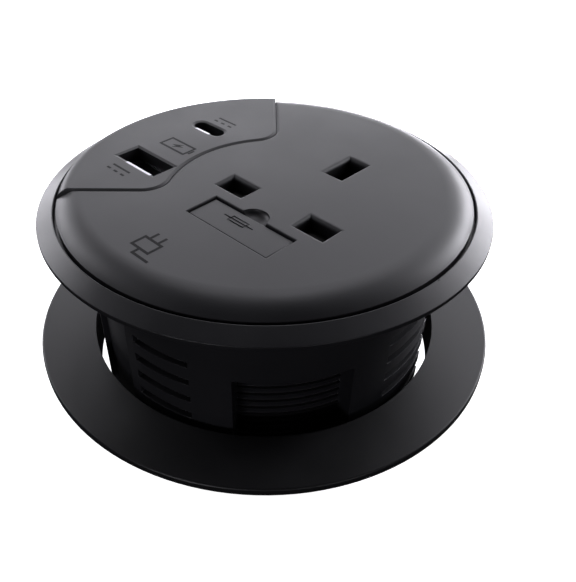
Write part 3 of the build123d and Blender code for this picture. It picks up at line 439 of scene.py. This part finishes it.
def bevelled(bm, edges, width, segments):
    """Rounds edges of a shape."""
    bmesh.ops.bevel(
        bm,
        geom=edges,
        affect="EDGES",
        offset=width,
        offset_type="OFFSET",
        segments=segments,
        profile=0.5,
        material=-1,
        clamp_overlap=False,
    )


def turned(profile):
    """A profile of (radius, height) points turned about Z, and closed flat at its ends."""
    bm = bmesh.new()
    points = [bm.verts.new((radius, 0, height)) for radius, height in profile]
    lines = [bm.edges.new(pair) for pair in zip(points, points[1:])]
    bmesh.ops.spin(
        bm,
        geom=points + lines,
        cent=(0, 0, 0),
        axis=(0, 0, 1),
        dvec=(0, 0, 0),
        angle=2 * pi,
        steps=turn_steps,
        use_merge=True,
    )
    bmesh.ops.holes_fill(bm, edges=[edge for edge in bm.edges if edge.is_boundary], sides=0)
    bmesh.ops.recalc_face_normals(bm, faces=bm.faces)
    return bm


def extruded(bm, faces, way):
    """Makes flat faces solid, along a way."""
    moved = bmesh.ops.extrude_face_region(bm, geom=faces)["geom"]
    ends = [item for item in moved if isinstance(item, bmesh.types.BMVert)]
    bmesh.ops.translate(bm, vec=way, verts=ends)
    bmesh.ops.recalc_face_normals(bm, faces=bm.faces)
    return bm


def prism(*outlines, low, high):
    """Flat outlines of points made solid between two heights. Those that share corners are one."""
    bm = bmesh.new()
    for outline in outlines:
        bm.faces.new([bm.verts.new((x, y, low)) for x, y in outline])
    bmesh.ops.remove_doubles(bm, verts=bm.verts, dist=weld)
    return extruded(bm, bm.faces[:], (0, 0, high - low))


def box(x, y, size_x, size_y, low, high):
    """A box centred on x and y, between two heights."""
    bm = bmesh.new()
    bmesh.ops.create_cube(bm, size=1)
    bmesh.ops.scale(bm, vec=(size_x, size_y, high - low), verts=bm.verts)
    bmesh.ops.translate(bm, vec=(x, y, (low + high) / 2), verts=bm.verts)
    return bm


def rod(x, y, radius, low, high, steps=48):
    """An upright cylinder."""
    bm = bmesh.new()
    bmesh.ops.create_cone(
        bm, cap_ends=True, segments=steps, radius1=radius, radius2=radius, depth=high - low
    )
    bmesh.ops.translate(bm, vec=(x, y, (low + high) / 2), verts=bm.verts)
    return bm


def tapered(outline_at, slope, low_share=-0.5, high_share=1.5):
    """A shape whose outline grows with its height, so that its side slopes out to the face. It is
    as the function gives it at the slope's foot, and wider by the slope's width at the face. It
    ends at shares of the slope's height, past both."""
    width, depth = slope
    bm = bmesh.new()
    ends = []
    for share in (low_share, high_share):
        height = face_z - depth + depth * share
        ends.append(bm.faces.new([bm.verts.new((x, y, height)) for x, y in outline_at(width * share)]))
    bmesh.ops.bridge_loops(bm, edges=[edge for end in ends for edge in end.edges])
    bmesh.ops.recalc_face_normals(bm, faces=bm.faces)
    return bm


def merged_copy(node):
    """A node's mesh in millimetres, its loose triangles joined into flat facets."""
    bm = bmesh.new()
    bm.from_mesh(nodes[node].data)
    bmesh.ops.scale(bm, vec=(1 / MM, 1 / MM, 1 / MM), verts=bm.verts)
    bmesh.ops.remove_doubles(bm, verts=bm.verts, dist=node_weld)
    bmesh.ops.dissolve_limit(
        bm, angle_limit=flat_angle, use_dissolve_boundaries=False, verts=bm.verts, edges=bm.edges
    )
    return bm


def eased(node):
    """A node's own shape with its sharp edges rounded, as a mould leaves them."""
    bm = merged_copy(node)
    sharp = [edge for edge in bm.edges if edge.calc_face_angle(0) > edge_angle]
    bevelled(bm, sharp, easing[node], segments=2)
    bmesh.ops.remove_doubles(bm, verts=bm.verts, dist=weld)
    bmesh.ops.dissolve_degenerate(bm, dist=weld, edges=bm.edges)
    return bm


# Outlines
def polar(radius, angle):
    """The flat place at a radius and an angle in degrees."""
    return (radius * cos(radians(angle)), radius * sin(radians(angle)))


def arc(x, y, radius, start, end, count=None):
    """Points along an arc between two angles in radians."""
    count = count or max(2, round(abs(end - start) / arc_step))
    angles = [start + (end - start) * index / count for index in range(count + 1)]
    return [(x + radius * cos(angle), y + radius * sin(angle)) for angle in angles]


def bar(x, y, size_x, size_y):
    """A rectangle's outline, centred on a place."""
    left, right = x - size_x / 2, x + size_x / 2
    low, high = y - size_y / 2, y + size_y / 2
    return [(left, low), (right, low), (right, high), (left, high)]


def border(size_x, size_y, line):
    """The outlines of four mitred bars that frame a rectangle."""
    outer = bar(0, 0, size_x, size_y)
    inner = bar(0, 0, size_x - 2 * line, size_y - 2 * line)
    return [[outer[side - 1], outer[side], inner[side], inner[side - 1]] for side in range(4)]


def slot_outline(x, y, length, width):
    """A slot with round ends."""
    radius = width / 2
    reach = length / 2 - radius
    right = arc(x + reach, y, radius, -pi / 2, pi / 2)
    left = arc(x - reach, y, radius, pi / 2, 3 * pi / 2)
    return right + left


def usb_a_outline(grow):
    """The USB-A opening's outline, grown outwards."""
    return bar(*usb_a_middle[:2], usb_a_hole[0] + 2 * grow, usb_a_hole[1] + 2 * grow)


def usb_c_outline(grow):
    """The USB-C opening's outline, grown outwards."""
    return slot_outline(*usb_c_middle[:2], usb_c_hole[0] + 2 * grow, usb_c_hole[1] + 2 * grow)


def seam_outline(grow):
    """The charging insert's outline, grown outwards: two slanted edges, two rounded shoulders
    and a hollow waist between them, running past the rim of the face."""
    apex = seam_apex_x + grow * sqrt(2)
    shoulder = seam_shoulder_radius + grow
    waist = seam_waist_radius - grow
    waist_x = seam_waist_x + seam_waist_radius
    inner_apex = apex - shoulder * sqrt(2)
    chord = sqrt(2 * (waist + shoulder) ** 2 - (waist_x - inner_apex) ** 2)
    shoulder_x = (waist_x + inner_apex - chord) / 2
    shoulder_y = inner_apex - shoulder_x
    to_waist = atan2(-shoulder_y, waist_x - shoulder_x)
    reach = 2 * face_radius
    bend = arc(shoulder_x, shoulder_y, shoulder, pi / 4, to_waist, seam_counts[0])
    upper = [(apex - reach, reach)] + bend
    middle = arc(waist_x, 0, waist, pi + to_waist, pi - to_waist, seam_counts[1])[1:-1]
    lower = [(x, -y) for x, y in reversed(upper)]
    return [(x, y + insert_y) for x, y in upper + middle + lower]


def rolled_edge(radius):
    """The profile of a rolled edge, from the rim up to the flat of the face."""
    full = acos(1 - face_roll_drop / radius)
    flat_radius = face_radius - radius * sin(full)
    turns = [full * (1 - index / roll_steps) for index in range(roll_steps + 1)]
    return [(flat_radius + radius * sin(turn), face_z - radius + radius * cos(turn)) for turn in turns]


# Pieces
def new_piece(name, bm, body, slot, *replaced, material=None, sharp=piece_sharp):
    """A finished piece: smooth where it is round, flat where it is flat, and in metres."""
    bmesh.ops.scale(bm, vec=(MM, MM, MM), verts=bm.verts)
    mesh = bpy.data.meshes.new(name)
    bm.to_mesh(mesh)
    bm.free()
    mesh.polygons.foreach_set("use_smooth", [True] * len(mesh.polygons))
    mesh.set_sharp_from_angle(angle=sharp)
    mesh.materials.append(material or finishes[slot])
    piece = bpy.data.objects.new(name, mesh)
    scene.collection.objects.link(piece)
    weighted = piece.modifiers.new("even_shading", "WEIGHTED_NORMAL")
    weighted.keep_sharp = True
    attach(piece, body)
    if replaced:
        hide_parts(*replaced)


def pegged(bm, angles, top):
    """A shape joined with the pegs that locate it on the housing."""
    for angle in angles:
        bm = joined(bm, rod(*polar(peg_circle, angle), peg_radius, peg_foot, top + overlap))
    return bm


def is_mouth(edge):
    """Whether an edge joins the face's outside to an upright wall."""
    if len(edge.link_faces) != 2:
        return False
    steepest = min(abs(face.normal.z) for face in edge.link_faces)
    lowest = min(vert.co.z for vert in edge.verts)
    at_top = lowest > plate_bottom + 2 * overlap
    return steepest < upright and edge.calc_face_angle(0) > mouth_angle and at_top


def mouth_edges(bm, x, y, size_x, size_y):
    """The upper edges of an opening in the face."""
    reach_x = size_x / 2 + mouth_margin
    reach_y = size_y / 2 + mouth_margin
    found = []
    for edge in bm.edges:
        middle = (edge.verts[0].co + edge.verts[1].co) / 2
        if abs(middle.x - x) < reach_x and abs(middle.y - y) < reach_y and is_mouth(edge):
            found.append(edge)
    return found


def scoop_shape():
    """The fingernail scoop at the fuse door's far edge, a shallow dish."""
    bm = bmesh.new()
    bmesh.ops.create_uvsphere(bm, u_segments=64, v_segments=32, radius=1)
    bmesh.ops.scale(bm, vec=scoop_size, verts=bm.verts)
    bmesh.ops.translate(bm, vec=(socket_x, fuse_y + door_hole[1] / 2, face_z), verts=bm.verts)
    return bm


def cover_shape():
    """The face plate with its skirt, the ledge under the insert, the pegs and the openings."""
    bm = turned([(face_radius, tray_floor), *rolled_edge(cover_roll)])
    bm = cut(bm, rod(0, 0, skirt_radius, tray_floor - past, plate_bottom, turn_steps))
    ledge = prism(seam_outline(ledge_width), low=tray_floor, high=plate_bottom + overlap)
    ledge = cut(ledge, prism(seam_outline(-ledge_width), low=tray_floor - past, high=face_z))
    within = rod(0, 0, skirt_radius + overlap, tray_floor - past, face_z, turn_steps)
    bm = joined(bm, common(ledge, within))
    bm = cut(bm, prism(seam_outline(seam_cover_side), low=plate_bottom, high=face_z + past))
    bm = cut(bm, tapered(lambda grow: seam_outline(seam_cover_side + grow), seam_slope))
    bm = cut(bm, scoop_shape())
    for x, y, size, _ in openings:
        bm = cut(bm, box(x, y, *size, tray_floor - past, face_z + past))
    bm = pegged(bm, cover_peg_angles, tray_floor)
    for x, y, size, rounding in openings:
        bevelled(bm, mouth_edges(bm, x, y, *size), rounding, segments=6)
    return bm


def insert_shape():
    """The insert's plate with the two ports, its posts and pegs."""
    bm = turned([(face_radius, plate_bottom), *rolled_edge(insert_roll)])
    wall = prism(seam_outline(seam_insert_side), low=plate_bottom - past, high=face_z + past)
    bm = common(bm, wall)
    through = -2 * plate_wall / seam_slope[1]
    slope = tapered(lambda grow: seam_outline(seam_insert_side - grow), seam_slope, through)
    bm = common(bm, slope)
    for outline_at in (usb_a_outline, usb_c_outline):
        bm = cut(bm, prism(outline_at(0), low=plate_bottom - past, high=face_z + past))
        bm = cut(bm, tapered(outline_at, port_slope))
    for shift_x, shift_y in post_shifts:
        place = (usb_c_middle[0] + shift_x, usb_c_middle[1] + shift_y)
        bm = joined(bm, rod(*place, post_radius, post_bottom, plate_bottom + overlap))
    return pegged(bm, insert_peg_angles, plate_bottom)


def door_shape():
    """The carrier's own saddle and stops under a door with rounded edges and an engraved fuse."""
    under = box(socket_x, fuse_y, 2 * door_length, 4 * door_width, 0, plate_bottom + overlap)
    carrier = common(merged_copy("fuse_carrier"), under)
    top = face_z - door_sink
    door = box(socket_x, fuse_y, door_length, door_width, plate_bottom, top)
    rim = [edge for edge in door.edges if min(vert.co.z for vert in edge.verts) > top - overlap]
    bevelled(door, rim, door_bevel, segments=3)
    length, width = symbol_frame
    inner_length = length - 2 * symbol_line
    inner_width = width - 2 * symbol_line
    bottom = top - engraving
    outside = box(*symbol_place, length, width, bottom, face_z + past)
    inside = box(*symbol_place, inner_length, inner_width, bottom - past, face_z + 2 * past)
    door = cut(door, cut(outside, inside))
    wire = box(*symbol_place, symbol_wire, symbol_line, bottom - floor_step, face_z + past)
    return joined(carrier, cut(door, wire))


def tab_shape(middle, half_hole, start, end):
    """A steel tab folded out over a port's near edge: a thin strip that slopes down from the
    face into the opening."""
    near = middle[1] - half_hole
    section = [
        (near, face_z - tab_drop),
        (near - tab_width, face_z + tab_rise),
        (near - tab_width, face_z - tab_sink),
        (near, face_z - tab_sink),
    ]
    bm = bmesh.new()
    face = bm.faces.new([bm.verts.new((middle[0] + start, y, z)) for y, z in section])
    return extruded(bm, [face], (end - start, 0, 0))


def screw_places(bm):
    """The height of the screws' lowest faces, and the middle of each."""
    low = min(vert.co.z for vert in bm.verts)
    groups = []
    for vert in bm.verts:
        if vert.co.z < low + overlap:
            near = [group for group in groups if (group[0] - vert.co).length < 2 * cross_size[0]]
            if near:
                near[0].append(vert.co.copy())
            else:
                groups.append([vert.co.copy()])
    return low, [sum(group, Vector()) / len(group) for group in groups]


def screw_shape():
    """The base's screws with rounded edges and a cross recess in each head."""
    bm = eased("base_screws")
    low, places = screw_places(bm)
    length, width, depth = cross_size
    for place in places:
        for size in ((length, width), (width, length)):
            bm = cut(bm, box(place.x, place.y, *size, low - past, low + depth))
    return bm


new_piece("cover_face", cover_shape(), "root", "cover_plastic", "cover", sharp=face_sharp)
new_piece("charging_insert", insert_shape(), "root", "insert_plastic", "usb_insert", sharp=face_sharp)
new_piece("fuse_door", door_shape(), "fuse", "cover_plastic", "fuse_carrier")

# Tabs of the ports' shells: the port's middle, half its width, and the tab's ends from there
tabs = {
    "usb_a_tab": (usb_a_middle, usb_a_hole[1] / 2, -2.6, 6.0),
    "usb_c_tab": (usb_c_middle, usb_c_hole[1] / 2, -2.4, 2.4),
}
for name, numbers in tabs.items():
    new_piece(name, tab_shape(*numbers), "root", "port_steel")

# Printed symbols: a plug, a battery that charges, and direct current beside each port
plug_symbol = [
    *border(5.4, 3.8, 0.6),
    bar(-1.2, 2.9, 0.6, 2.0),
    bar(1.2, 2.9, 0.6, 2.0),
    [(-0.3, -1.9), (-0.3, -3.6), (4.6, -3.6), (4.6, -3.0), (0.3, -3.0), (0.3, -1.9)],
]
battery_symbol = [
    *border(8.6, 4.2, 0.55),
    bar(4.75, 0, 0.5, 1.8),
    [(0.9, 1.2), (-1.5, -0.3), (-0.2, -0.3), (-0.9, -1.2), (1.5, 0.3), (0.2, 0.3)],
]
direct_current_symbol = [
    bar(0, 0.8, 6.0, 0.5),
    bar(-2.4, -0.8, 1.2, 0.5),
    bar(0, -0.8, 1.2, 0.5),
    bar(2.4, -0.8, 1.2, 0.5),
]
prints = (
    ("plug_print", plug_symbol, (2.6, -33.4), "cover_plastic"),
    ("battery_print", battery_symbol, (-24.4, -4.0), "insert_plastic"),
    ("usb_a_print", direct_current_symbol, (-24.7, -20.4), "insert_plastic"),
    ("usb_c_print", direct_current_symbol, (-25.9, 12.2), "insert_plastic"),
)
for name, outlines, place, slot in prints:
    ink = prism(*outlines, low=face_z - ink_thickness, high=face_z + ink_thickness)
    bmesh.ops.translate(ink, vec=(*place, 0), verts=ink.verts)
    new_piece(name, ink, "root", slot, material=symbol_ink)

# Mouldings that keep their shape and gain rounded edges, and the base's screws
new_piece("bezel_and_barrel", eased("barrel_housing"), "root", "housing_plastic", "barrel_housing")
new_piece("cross_screws", screw_shape(), "root", "screw_steel", "base_screws")
new_piece("base_plate", eased("base_cap"), "root", "base_plastic", "base_cap")
new_piece("inlet_shell", eased("inlet_body"), "root", "inner_plastic", "inlet_body")
new_piece("clamp_flange", eased("clamp_ring"), "clamp_ring", "ring_plastic", "clamp_ring")

# Every node's finish
for group in frame["record"]["subparts"]:
    for slot in nodes[group["node"]].material_slots:
        slot.material = finishes[group["material_slot"]]

# Studio, in metres
stage_radius = 3.0
floor_drop = 0.1 * MM  # keeps the floor out of the plane of the part's foot


def staged(name, bm):
    """A part of the studio, seen by the camera only, so that it lights and shades nothing."""
    mesh = bpy.data.meshes.new(name)
    bm.to_mesh(mesh)
    bm.free()
    mesh.materials.append(paper)
    made = bpy.data.objects.new(name, mesh)
    scene.collection.objects.link(made)
    made.visible_diffuse = False
    made.visible_glossy = False
    made.visible_transmission = False
    made.visible_shadow = False


floor = bmesh.new()
bmesh.ops.create_grid(floor, x_segments=1, y_segments=1, size=stage_radius)
bmesh.ops.translate(floor, vec=(0, 0, -floor_drop), verts=floor.verts)
staged("floor", floor)
dome = bmesh.new()
bmesh.ops.create_uvsphere(dome, u_segments=64, v_segments=32, radius=stage_radius)
staged("backdrop", dome)


def aimed(thing, place, axis, way):
    """Puts a camera or a lamp in the scene at a place, with one of its axes along a way."""
    turn = way.to_track_quat(axis, "Y").to_matrix().to_4x4()
    thing.matrix_world = Matrix.Translation(place) @ turn
    scene.collection.objects.link(thing)


# Camera, at the photograph's place
photo_width = 576
photo_focal = 666.9  # pixels
photo_middle_x = 259.3  # pixel column of the lens's axis
camera_place = Vector((89.49, -89.70, 129.0)) * MM
camera_pitch = radians(38.96)
ahead = Vector((-0.7124, 0.7018, 0)).normalized()
sensor_width = 36.0
camera_data = bpy.data.cameras.new("camera")
camera_data.sensor_fit = "HORIZONTAL"
camera_data.sensor_width = sensor_width
camera_data.lens = photo_focal / photo_width * sensor_width
camera_data.shift_x = (photo_width / 2 - photo_middle_x) / photo_width
camera_data.clip_start = 0.005
camera = bpy.data.objects.new("camera", camera_data)
forward = ahead * cos(camera_pitch) - Vector((0, 0, sin(camera_pitch)))
aimed(camera, camera_place, "-Z", forward)
scene.camera = camera

# Lights, each a little blue, and a trace of light from all round
lamp_tone = "#f9f8ff"
surround_strength = 0.01


def soft_box(name, azimuth, elevation, distance, width, height, power):
    """A studio soft box aimed at the face."""
    data = bpy.data.lights.new(name, "AREA")
    data.shape = "RECTANGLE"
    data.size = width
    data.size_y = height
    data.energy = power
    data.color = srgb(lamp_tone)[:3]
    lamp = bpy.data.objects.new(name, data)
    level = Matrix.Rotation(radians(-azimuth), 3, "Z") @ ahead
    way = level * cos(radians(elevation)) + Vector((0, 0, sin(radians(elevation))))
    target = Vector((0, 0, face_z * MM))
    aimed(lamp, target + way * distance, "Z", way)
    lamp.visible_camera = False


# Each soft box: the degrees that it stands to the right of straight ahead, as the camera looks,
# and above the face, its distance, width and height in metres, and its power in watts
soft_boxes = {
    "back_card": (0, -8, 0.28, 0.097, 0.049, 0.39),
    "back_card_right": (20, -8, 0.28, 0.097, 0.049, 0.21),
    "back_card_left": (-20, -8, 0.28, 0.097, 0.049, 0.05),
    "low_right": (40, 4, 1.0, 0.347, 0.244, 3.43),
    "low_left": (-40, 4, 1.0, 0.347, 0.244, 1.61),
    "front_right": (150, 4, 1.0, 0.347, 0.244, 0.64),
    "front_left": (-150, 4, 1.0, 0.347, 0.244, 1.77),
    "back_wall": (0, 16, 1.0, 0.347, 0.209, 1.31),
    "back_wall_right": (20, 16, 1.0, 0.347, 0.209, 0.87),
    "back_wall_left": (-30, 16, 1.0, 0.694, 0.209, 0.73),
    "right_box": (60, 16, 1.0, 0.347, 0.209, 5.01),
    "left_box": (-60, 16, 1.0, 0.347, 0.209, 1.51),
    "high_left": (-60, 28, 1.0, 0.347, 0.209, 1.08),
    "high_back": (-20, 28, 1.0, 0.347, 0.209, 0.78),
    "high_right": (80, 28, 1.0, 0.694, 0.209, 0.91),
    "upper_right": (45, 42, 1.0, 0.832, 0.278, 1.76),
    "upper_left": (-100, 42, 1.0, 0.416, 0.278, 0.28),
    "overhead": (0, 62, 1.0, 0.484, 0.347, 1.95),
}
for name, numbers in soft_boxes.items():
    soft_box(name, *numbers)

world = bpy.data.worlds.new("studio")
world.use_nodes = True
world.node_tree.nodes["Background"].inputs["Color"].default_value = srgb("#ffffff")
world.node_tree.nodes["Background"].inputs["Strength"].default_value = surround_strength
scene.world = world
scene.view_settings.view_transform = "Standard"
